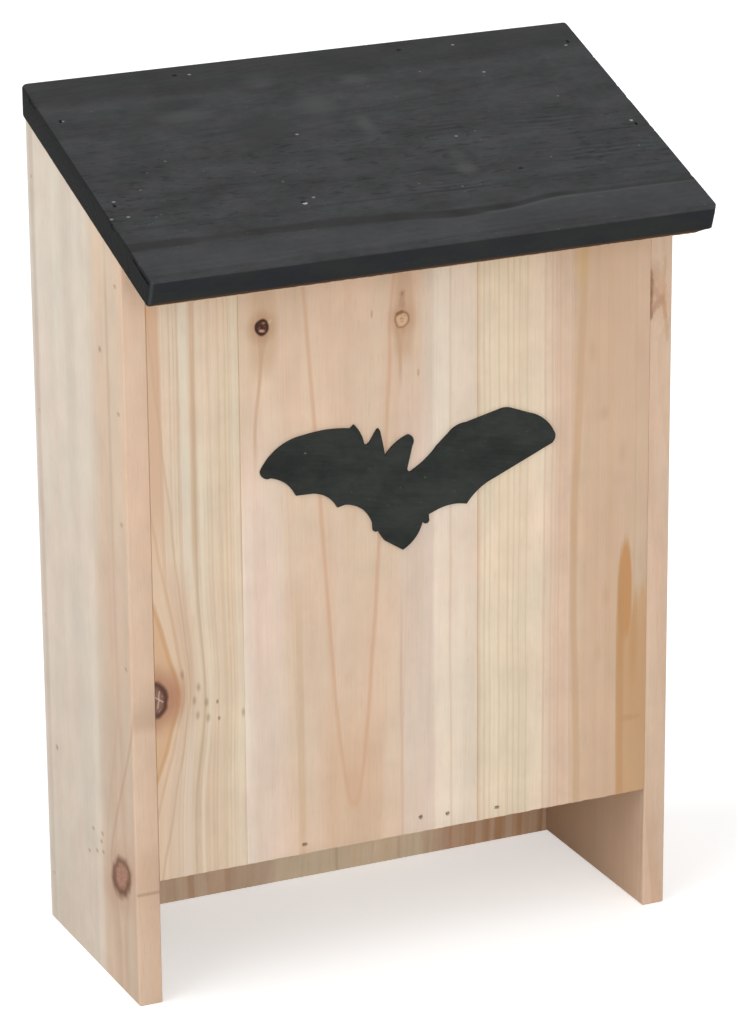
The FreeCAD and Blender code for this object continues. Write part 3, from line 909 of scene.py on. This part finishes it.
# What shows round the brads at the foot: width, height, tone and strength, from the left
foot_marks = (
    (1.7, 1.2, (156, 116, 82), 0.6), (0.8, 1.4, (84, 62, 54), 0.8), (0.8, 1.4, (120, 102, 90), 0.7),
    (1.7, 1.1, (158, 147, 130), 0.6),
)
for part, (finish, cuts) in staves.items():
    node = "front_stave_" + part
    stave_low, stave_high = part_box(node)
    stave = add_block(part + "_stave", stave_low, stave_high)
    saw_off(stave, slope_point, slope_out)
    ease_edges(stave, glue_edge, 2)
    ragged_foot(stave, stave_low[2], cuts)
    for (low, high), (wide, long, tone, mark) in zip(brads_in("floor_brads", 0), foot_marks):
        if stave_low[0] < low.x < stave_high[0]:
            middle = (low + high) * (to_mm / 2)
            finish.spots([(middle.x, middle.z)], (wide, long), tone, mark, core=0.2)
    sink_pits(stave, "floor_brads", 0, (1, -1))
    set_in_place(stave, node, finish.finish())

# The back panel is one wide fir board. Grooves sawn across its inner face give the bats a grip,
# and a recess in its rear face holds the keyhole plate.
back_low, back_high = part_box("back_panel")
back = add_block("back_plank", back_low, back_high)
saw_off(back, slope_point, slope_out)
ease_edges(back, 0.0004, 2)
groove_first = 0.030
groove_step = 0.015
groove_width = 0.002
groove_depth = 0.001
groove_count = 20
overrun = 0.001
grooves = add_block(
    "grooves",
    (back_low[0] - overrun, back_low[1] - overrun, groove_first),
    (back_high[0] + overrun, back_low[1] + groove_depth, groove_first + groove_width),
)
apply_modifier(
    grooves, "ARRAY", count=groove_count, use_relative_offset=False, use_constant_offset=True,
    constant_offset_displace=(0, 0, groove_step),
)
cut_away(back, grooves)

plate_low, plate_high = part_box("hanger_plate")
plate_gap = 0.0002
plate_corner = 0.0032
recess = add_block(
    "recess",
    (plate_low[0] - plate_gap, plate_low[1], plate_low[2] - plate_gap),
    (plate_high[0] + plate_gap, plate_high[1] + 2 * overrun, plate_high[2] + plate_gap),
)
work_edges(
    recess, lambda a, b: abs(a.y - b.y) > 0.001, bpy.ops.mesh.bevel, offset=plate_corner, segments=5
)
cut_away(back, recess)

pocket_radius = 0.0052
pocket_depth = 0.004
keyhole_drop = 0.0035
keyhole_z = (plate_low[2] + plate_high[2]) / 2 - keyhole_drop
keyhole_rise = 0.007
bpy.ops.mesh.primitive_cylinder_add(
    vertices=32, radius=pocket_radius, depth=pocket_depth + overrun, rotation=(math.pi / 2, 0, 0),
    location=(0, plate_low[1] - (pocket_depth - overrun) / 2, keyhole_z),
)
pocket = bpy.context.object
bpy.ops.object.transform_apply()
for vertex in pocket.data.vertices:
    vertex.select = vertex.co.z > keyhole_z + 0.0001
bpy.ops.object.mode_set(mode="EDIT")
bpy.ops.transform.translate(value=(0, 0, keyhole_rise))
bpy.ops.object.mode_set(mode="OBJECT")
cut_away(back, pocket)

back_finish = FirFinish("back_panel_fir", "XYZ", (0, to_mm * back_low[1], 0), (212, 186, 158))
back_finish.streaks(
    (-92, 16, 6, (204, 174, 146), 0.6),
    (-66, 8, 1.5, (216, 187, 158), 0.8),
    (-60, 1.2, 1.2, (192, 152, 124), 0.8),
    (-51.5, 6, 1.5, (206, 176, 148), 0.8),
    (-41.5, 2.2, 1.4, (188, 152, 126), 0.8),
    (-34, 5, 3, (198, 170, 146), 0.8),
    (-26, 3, 2, (206, 181, 160), 0.8),
    (14.5, 34.5, 1.5, (224, 205, 176), 0.85),
    (8.3, 0.4, 0.5, (196, 168, 140), 0.7),
    (37.6, 0.4, 0.6, (206, 180, 152), 0.6),
    (53, 3, 1.5, (208, 179, 152), 0.8),
    (60, 3.2, 1.5, (192, 150, 120), 0.85),
    (64.4, 0.9, 0.8, (212, 172, 146), 0.6),
    (90, 22, 3, (188, 144, 108), 0.9),
)
back_finish.part_grain(46, 214, 9, 10, 20)
back_finish.rings((-38, 46, 0), (0.03, -0.05, 0), 3.0, 5.0)
back_finish.grain(0.28, 0.15, 0.3)
back_finish.knot(46, 214, (7, 8.4), (168, 124, 96), (104, 62, 42), (198, 160, 128), 0.45, 0.35)
set_in_place(back, "back_panel", back_finish.finish())

# The floor board closes the chamber from below but for the slit along the back panel. It is fir,
# laid with its grain across the box, and is nailed through the foot of the front panel.
floor_low, floor_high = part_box("floor_board")
shelf = add_block("floor_plank", floor_low, floor_high)
ease_edges(shelf, 0.0006, 3)
floor_finish = FirFinish("floor_fir", "YZX", (0, 0, 0), (211, 187, 158))
floor_finish.streaks(
    (-12, 5, 6, (204, 170, 138), 0.6),
    (20, 8, 7, (219, 201, 174), 0.6),
)
floor_finish.rings((8, 20, 0), (0.02, 0.02, 0), 2.6, 4.0)
floor_finish.grain(0.45, 0.15, 0.3)
set_in_place(shelf, "floor_board", floor_finish.finish())

# The brads are flat wire nails with small oblong heads, set just under the surface with a punch.
# They hold the panels, the floor and the roof, and their heads have dulled.
metal_group, take, give = new_group(
    "dulled metal",
    {
        "Position": origin, "Bright": (0.5, 0.5, 0.5, 1.0), "Dull": (0.2, 0.2, 0.2, 1.0),
        "Cloud Size": 1.0, "Roughness": 0.4,
    },
    {"Colour": 4, "Roughness": 1, "Height": 1},
)
cloud_scale = 1.0 / take["Cloud Size"]
cloudy = {"Vector": take["Position"], "Scale": cloud_scale}
clouds = put(metal_group, "TexNoise", {**cloudy, "Detail": 4.0, "Roughness": 0.6})[0]
spangle = put(metal_group, "TexVoronoi", cloudy)["Distance"]
tarnish = fade(clouds, 0.4, 0.65) + spangle * 0.3
mixed(tarnish, take["Bright"], take["Dull"]).into(give["Colour"])
(clouds * 0.25 + take["Roughness"]).into(give["Roughness"])
clouds.into(give["Height"])


def metal_finish(name, bright, dull, cloud_size, roughness):
    """A metal material that is duller in patches."""
    material, tree, surface = new_material(name)
    look = put(tree, "Group", {
        "Position": in_millimetres(tree), "Bright": srgb(*bright), "Dull": srgb(*dull),
        "Cloud Size": cloud_size, "Roughness": roughness,
    }, node_tree=metal_group)
    join_shader(tree, surface, look["Colour"], look, 0.3, 0.00005, Metallic=1.0)
    return material


def dress_node(node, material, edge=0.0):
    """Gives a node from the CAD its finish, and eases its edges if asked."""
    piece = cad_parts[node]
    piece.data.materials.clear()
    piece.data.materials.append(material)
    if edge:
        piece.modifiers.new("weld", "WELD").merge_threshold = 0.000005
        bevel = piece.modifiers.new("bevel", "BEVEL")
        bevel.width = edge
        bevel.segments = 2
        bevel.limit_method = "ANGLE"
        bevel.angle_limit = math.radians(40)


brad_metal = metal_finish("brad_metal", (150, 144, 134), (92, 82, 70), 0.9, 0.5)
for row in (
    "front_panel_brads_left", "front_panel_brads_right", "back_panel_brads_left",
    "back_panel_brads_right", "roof_brads_left", "roof_brads_right", "roof_brads_front", "roof_brads_rear",
):
    dress_node(row, brad_metal)
dress_node("floor_brads", metal_finish("floor_brad_metal", (192, 180, 166), (132, 118, 104), 0.9, 0.6))

# The roof is one fir board with a black stain brushed over its top and edges. It is nailed down on
# the sloping tops, stands out over the front, and its corners and edges have taken small knocks.
roof_low, roof_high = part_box("roof_board")
roof_thickness = (roof_high[2] - side_high[2]) * math.cos(roof_pitch)
roof_front = roof_low[1] - front_face_y + roof_thickness * math.sin(roof_pitch)
roof_corners = ((-1, -1, 0.0013), (-1, 1, 0.003), (1, -1, 0.0032), (1, 1, 0.0015))
saw_room = 0.02
roof = add_block(
    "roof_plank",
    (roof_low[0], roof_low[1] - saw_room / 2, roof_low[2] - saw_room),
    (roof_high[0], roof_high[1], roof_high[2] + saw_room),
)
front_under = Vector((0, front_face_y + roof_front, side_front_top + roof_slope * roof_front))
down_slope = Vector((0, -math.cos(roof_pitch), -math.sin(roof_pitch)))
saw_off(roof, slope_point, -slope_out)
saw_off(roof, slope_point + slope_out * roof_thickness, slope_out)
saw_off(roof, front_under, down_slope)
for side, end, worn in roof_corners:
    work_edges(
        roof, lambda a, b: (a - b).length < 0.02 and a.x * side > 0.1 and a.y * end > 0,
        bpy.ops.mesh.bevel, offset=worn, segments=4,
    )
ease_edges(roof, 0.0007, 3)
roof_rows = {"roof_brads_left": 1, "roof_brads_right": 1, "roof_brads_front": 0, "roof_brads_rear": 0}
for node, axis in roof_rows.items():
    sink_pits(roof, node, axis, (2, 1))
rear_top = Vector((0, roof_high[1], roof_high[2]))


def on_roof(x, from_rear, depth):
    """A point of the roof, by its x, its distance down the slope from the rear, and its depth."""
    return rear_top + down_slope * from_rear - slope_out * depth + Vector((x, 0, 0))


roof_run = (roof_high[1] - roof_low[1]) / math.cos(roof_pitch)
end_x = roof_high[0]
under = roof_thickness

# The lower front corner at the right is bruised, and the rear one at the left is knocked
knock(roof, on_roof(end_x - 0.001, roof_run - 0.001, under + 0.0006), (0.0085, 0.005, 0.0018), 3)
knock(roof, on_roof(end_x + 0.0006, roof_run + 0.0006, under / 2), (0.0022, 0.0022, 0.0085), 5)
knock(roof, on_roof(end_x - 0.018, roof_run - 0.0005, under + 0.0012), (0.004, 0.003, 0.0014), 4)
knock(roof, on_roof(-end_x + 0.001, 0.001, 0.005), (0.0012, 0.0012, 0.006), 6)

# Small dents along the two arrises of the front edge, and along the upper arrises of the ends
dents = random.Random(7)
for index in range(16):
    x = dents.uniform(-0.93, 0.95) * end_x
    depth = dents.choice((-0.0006, under + 0.0004))
    long = dents.uniform(0.0012, 0.0035)
    knock(roof, on_roof(x, roof_run + 0.0003, depth), (long, 0.0009, 0.0009), 10 + index)
for index in range(10):
    side = dents.choice((-1, 1))
    from_rear = dents.uniform(0.05, 0.95) * roof_run
    worn = 1.2 if side > 0 else 1.9
    size = Vector((0.0008, dents.uniform(0.001, 0.003), 0.0009)) * worn
    knock(roof, on_roof(side * (end_x + 0.0003), from_rear, -0.0004), size, 40 + index)

# The split in the left end, near the front: it opens towards the corner, where the top fibres lifted
split_half = 0.0105
split_depth = 0.002
split_mouth = (-0.0009, 0.0006)
split = add_block(
    "split",
    (-end_x - 0.001, -split_half, split_mouth[0]),
    (-end_x + split_depth, split_half, split_mouth[1]),
)
run_tool(split, bpy.ops.mesh.subdivide, number_cuts=7)
for vertex in split.data.vertices:
    from_front = (vertex.co.y + split_half) / (2 * split_half)
    opening = min(0.25 + 8 * from_front, 1.0) * (1.02 - from_front)
    vertex.co.z *= opening
    if vertex.co.x > -end_x:
        vertex.co.x = -end_x + split_depth * opening
split_from_rear = 0.1317
split_place = on_roof(0, split_from_rear, 0.0013)
split.rotation_euler = (roof_pitch, 0, 0)
split.location = (0, split_place.y, split_place.z)
bpy.ops.object.transform_apply()
cut_away(roof, split)


def scattered(position, density, weakest, strongest, rim, core):
    """Dots strewn over a surface, each of its own strength."""
    bits = put(position.tree, "TexVoronoi", {"Vector": position, "Scale": density})
    chance = put(position.tree, "SeparateColor", {0: bits["Color"]})[0]
    return fade(bits["Distance"], rim, core) * fade(chance, weakest, strongest)


stain_group, take, give = new_group(
    "black stain",
    {
        "Position": origin, "Latewood": 0.0, "Tone": (0.06, 0.06, 0.06, 1.0),
        "Pale Tone": (0.09, 0.09, 0.09, 1.0), "Grain Show": 0.5, "Specks": 0.5, "Dashes": 0.0,
    },
    {"Colour": 4, "Roughness": 1, "Height": 1},
)
fibre = noise(take["Position"], (1.3, 1.3, 0.06), 4.0, 0.65)
patches = noise(take["Position"], (0.07, 0.07, 0.035), 4.0, 0.6)
mottle = noise(take["Position"], (0.4, 0.4, 0.22), 3.0, 0.6)
body = mottle * 0.3 + (fibre * 0.3 + patches * 0.8)
colour = mixed(fade(body, 0.4, 1.0), take["Tone"], take["Pale Tone"])
cast = fade(noise(take["Position"], (0.09, 0.09, 0.05), 2.0), 0.35, 0.65)
cast = mixed(cast, (0.97, 1.02, 1.0, 1), (1.02, 0.985, 1.01, 1))
colour = mixed(1.0, colour, cast, "MULTIPLY")
shown = take["Latewood"] * take["Grain Show"]
colour = mixed(shown, colour, (0.55, 0.56, 0.57, 1), "MULTIPLY")
brushed = fade(noise(take["Position"], (0.55, 0.55, 0.13), 2.0), 0.58, 0.66) * take["Dashes"]
colour = mixed(brushed, colour, (0.6, 0.6, 0.6, 1), "MULTIPLY")
dots = scattered(take["Position"] * (1.0, 1.0, 0.7), 0.17, 0.5, 0.95, 0.09, 0.03) * take["Specks"]
colour = mixed(dots, colour, (0.2, 0.21, 0.2, 1))
dust = scattered(take["Position"] * (1.0, 1.0, 0.8), 0.4, 0.55, 1.0, 0.2, 0.06)
dust *= fade(patches, 0.4, 0.6) * take["Specks"]
colour = mixed(dust, colour, (0.11, 0.115, 0.11, 1))
colour.into(give["Colour"])
(fibre * 0.3 + 0.5).into(give["Roughness"])
(take["Latewood"] * -0.6 + fibre).into(give["Height"])

tilted_y = math.cos(roof_pitch) * rear_top.y + math.sin(roof_pitch) * rear_top.z
tilted_z = -math.sin(roof_pitch) * rear_top.y + math.cos(roof_pitch) * rear_top.z
stain = FirFinish(
    "roof_stain", "YZX", (0, to_mm * tilted_y, to_mm * tilted_z), (206, 178, 148), -roof_pitch
)
stain.streaks((-30, 8, 8, (214, 194, 166), 0.6))
stain.part_grain(-87, 31, 7, 9, 12)
stain.rings((-70, -46, 0), (0.04, 0.03, 0), 2.6, 12.0, 3.0)
stain.grain(0.5, 0.16, 0.3)
raw_colour = stain.colour
tree = stain.tree
on_board = parts_of(stain.plain)
dashes = fade(on_board[0], -42, -62) * fade(on_board[0], -117, -111)
stained = put(tree, "Group", {
    "Position": stain.position, "Latewood": stain.ring_sockets["Latewood"],
    "Tone": srgb(50, 51, 51), "Pale Tone": srgb(72, 73, 74), "Grain Show": 0.3, "Specks": 0.7,
    "Dashes": dashes * 0.7,
}, node_tree=stain_group)
stain.colour = stained["Colour"]

# Broad uneven patches where the stain took more or less
for from_rear, along, wide, long, tone in (
    (26.5, -65, 4, 15, 54), (39, -84, 3.5, 10, 56), (52, -38, 12, 17, 56), (36, -64, 6, 16, 76),
    (17, -26, 7, 10, 78), (40, -9, 10, 11, 76), (57, 5, 9, 5, 78), (24, 14, 5, 8, 76),
    (98, 62, 5, 9, 58), (137, 104, 4, 7, 60), (92, 32, 7, 6, 80), (84, 26, 1.4, 5, 44),
    (81, 37, 1.4, 5, 46),
):
    stain.spots(((-from_rear, along),), (wide, long), (tone, tone + 1, tone + 1), 0.75, 0.8, 0.15)
stain.streaks(
    (-6, 9, 9, (46, 46, 46), 0.45),
    (-131, 6, 3, (72, 74, 76), 0.3),
)

# A dark ring near the front edge, which bends forwards in the middle, and a light one beside it
for at_foot, at_top, foot, top, half_width, tone, strength in (
    (119.4, 119.2, -125, -100, 1.6, 42, 0.65), (119.2, 119.0, -94, -72, 0.8, 50, 0.6),
    (119.2, 119.6, -66, -50, 1.3, 42, 0.6), (119.6, 121.6, -44, -12, 1.6, 46, 0.6),
    (121.8, 124.4, -12, 14, 1.6, 44, 0.6), (124.4, 124.2, 16, 34, 1.4, 40, 0.65),
    (124.4, 120.8, 36, 60, 0.9, 40, 0.6), (120.8, 121.2, 62, 84, 0.5, 44, 0.5),
    (121.2, 121.4, 90, 122, 0.2, 48, 0.5),
):
    stretch, bend = (foot, top, 10), (-at_foot, foot, top)
    stain.streaks((-at_top, half_width, 2.0, (tone, tone, tone - 2), strength, stretch, bend))
stain.streaks(
    (-122.6, 0.3, 1.0, (92, 94, 94), 0.35, (30, 64, 8), (-126.4, 34, 62)),
    (-122.7, 0.2, 0.8, (88, 90, 90), 0.35, (66, 122, 8)),
    (-108, 0.3, 1.0, (52, 54, 54), 0.5),
)
stain.spots(
    (
        (-7.3, -51.7), (-29.8, -114.6), (-88, -115.4), (-99.2, -120.6), (-99, -113.6), (-101.6, -37),
        (-57.9, -25.6), (-17.5, 113.6), (-7.7, 65.8), (-29.9, 69.9), (-73.5, 37.9),
    ),
    (0.6, 0.9), (150, 149, 142), 0.75,
)
stain.spots(((-104.7, -42),), (1.0, 1.2), (190, 190, 184), 0.9)
stain.spots(((-76.6, 115),), (0.8, 0.9), (170, 170, 164), 0.8)

# Painted shade and highlight: light and dark bands that stand for fine ripples in the surface, in a few
# places
wave = noise(stain.plain, (0.03, 0.0, 0.03), 2.0) * 9.0 + on_board[0]
ripple = maths("SINE", (on_board[2] * 0.05 + wave) * 2.2)
ripple_painted_shade = mixed(fade(ripple, -0.6, 0.9), (0.8, 0.8, 0.81, 1), (1.08, 1.08, 1.09, 1))
smooth_colour = stain.colour
stain.colour = (0.0, 0.0, 0.0, 1.0)
for from_rear, along, wide, long in ((94, 92, 10, 38), (107, 20, 6, 20), (66, 36, 7, 11), (70, 80, 6, 26)):
    stain.spots(((-from_rear, along),), (wide, long), (255, 255, 255), 1.0, 1.2, 0.1)
rippled_with_painted_shade = mixed(1.0, smooth_colour, ripple_painted_shade, "MULTIPLY")
stain.colour = mixed(stain.colour, smooth_colour, rippled_with_painted_shade)

# The edges are darker: partly stain they soaked up, partly painted shade. It laps the lower arris, where it
# thins to brown, and the underside is raw
depth = on_board[1]
underside = -to_mm * roof_thickness
end = to_mm * end_x
# Painted shade, partly stain soaked into the edges: a darker tone on every face below the top, darkest at
# the ends
soaked_and_shaded_tone = fade(noise(stain.plain, (0.06, 0.1, 0.04), 3.0), 0.4, 0.62)
soaked_and_shaded_tone = mixed(soaked_and_shaded_tone, srgb(35, 37, 41), srgb(40, 43, 41))
stain.colour = mixed(fade(depth, -0.3, -1.0) * 0.85, stain.colour, soaked_and_shaded_tone)
from_middle = abs(on_board[2])
stain.lay(fade(from_middle, end - 0.9, end - 0.2) * 0.8, (20, 22, 20))
# Painted highlight: a pale bluish spot on the front corner of the left end
stain.spots(((-144, -121.5),), (2.2, 2.0), (96, 100, 104), 0.5, core=0.1)
# The brown along the lower arris is thinned stain and also a painted reflection of the wood below
lap = noise(stain.plain, (0.3, 0.0, 0.3), 3.0, 0.6)
thinned_stain_and_reflection = fade(lap * 0.8 + depth, underside + 2.4, underside + 1.5)
stain.lay(thinned_stain_and_reflection * fade(from_middle, end - 1.0, end - 4.0) * 0.8, (88, 60, 43))
covered = fade(depth - (lap * 0.8 + (underside + 0.05)), 0.0, 0.35)
roof_colour = mixed(covered, raw_colour, stain.colour)
join_shader(tree, stain.surface, roof_colour, stained, 0.8, 0.0002, Specular_IOR_Level=0.08)
set_in_place(roof, "roof_board", stain.material)

# The bat is a flat figure sawn from ply 1 mm thick. It is stained black like the roof, edges and
# all, and is glued flat to the front panel.
figure_material, tree, surface = new_material("figure_stain")
stained = put(tree, "Group", {
    "Position": in_millimetres(tree, (0, math.radians(78), 0)), "Tone": srgb(35, 38, 36),
    "Pale Tone": srgb(56, 59, 56), "Grain Show": 0.0, "Specks": 0.5,
}, node_tree=stain_group)
join_shader(tree, surface, stained["Colour"], stained, 0.4, 0.0001, Specular_IOR_Level=0.1)
dress_node("bat_figure", figure_material, 0.00015)

# The keyhole plate and its two countersunk screws are zinc-plated steel. The plate lies flush in
# the rear face, and the box hangs from it on one screw in the wall.
zinc = metal_finish("zinc_plate", (196, 199, 204), (172, 176, 182), 3.2, 0.3)
for node, edge in (("hanger_plate", 0.0002), ("hanger_screw_left", 0.0001), ("hanger_screw_right", 0.0001)):
    dress_node(node, zinc, edge)
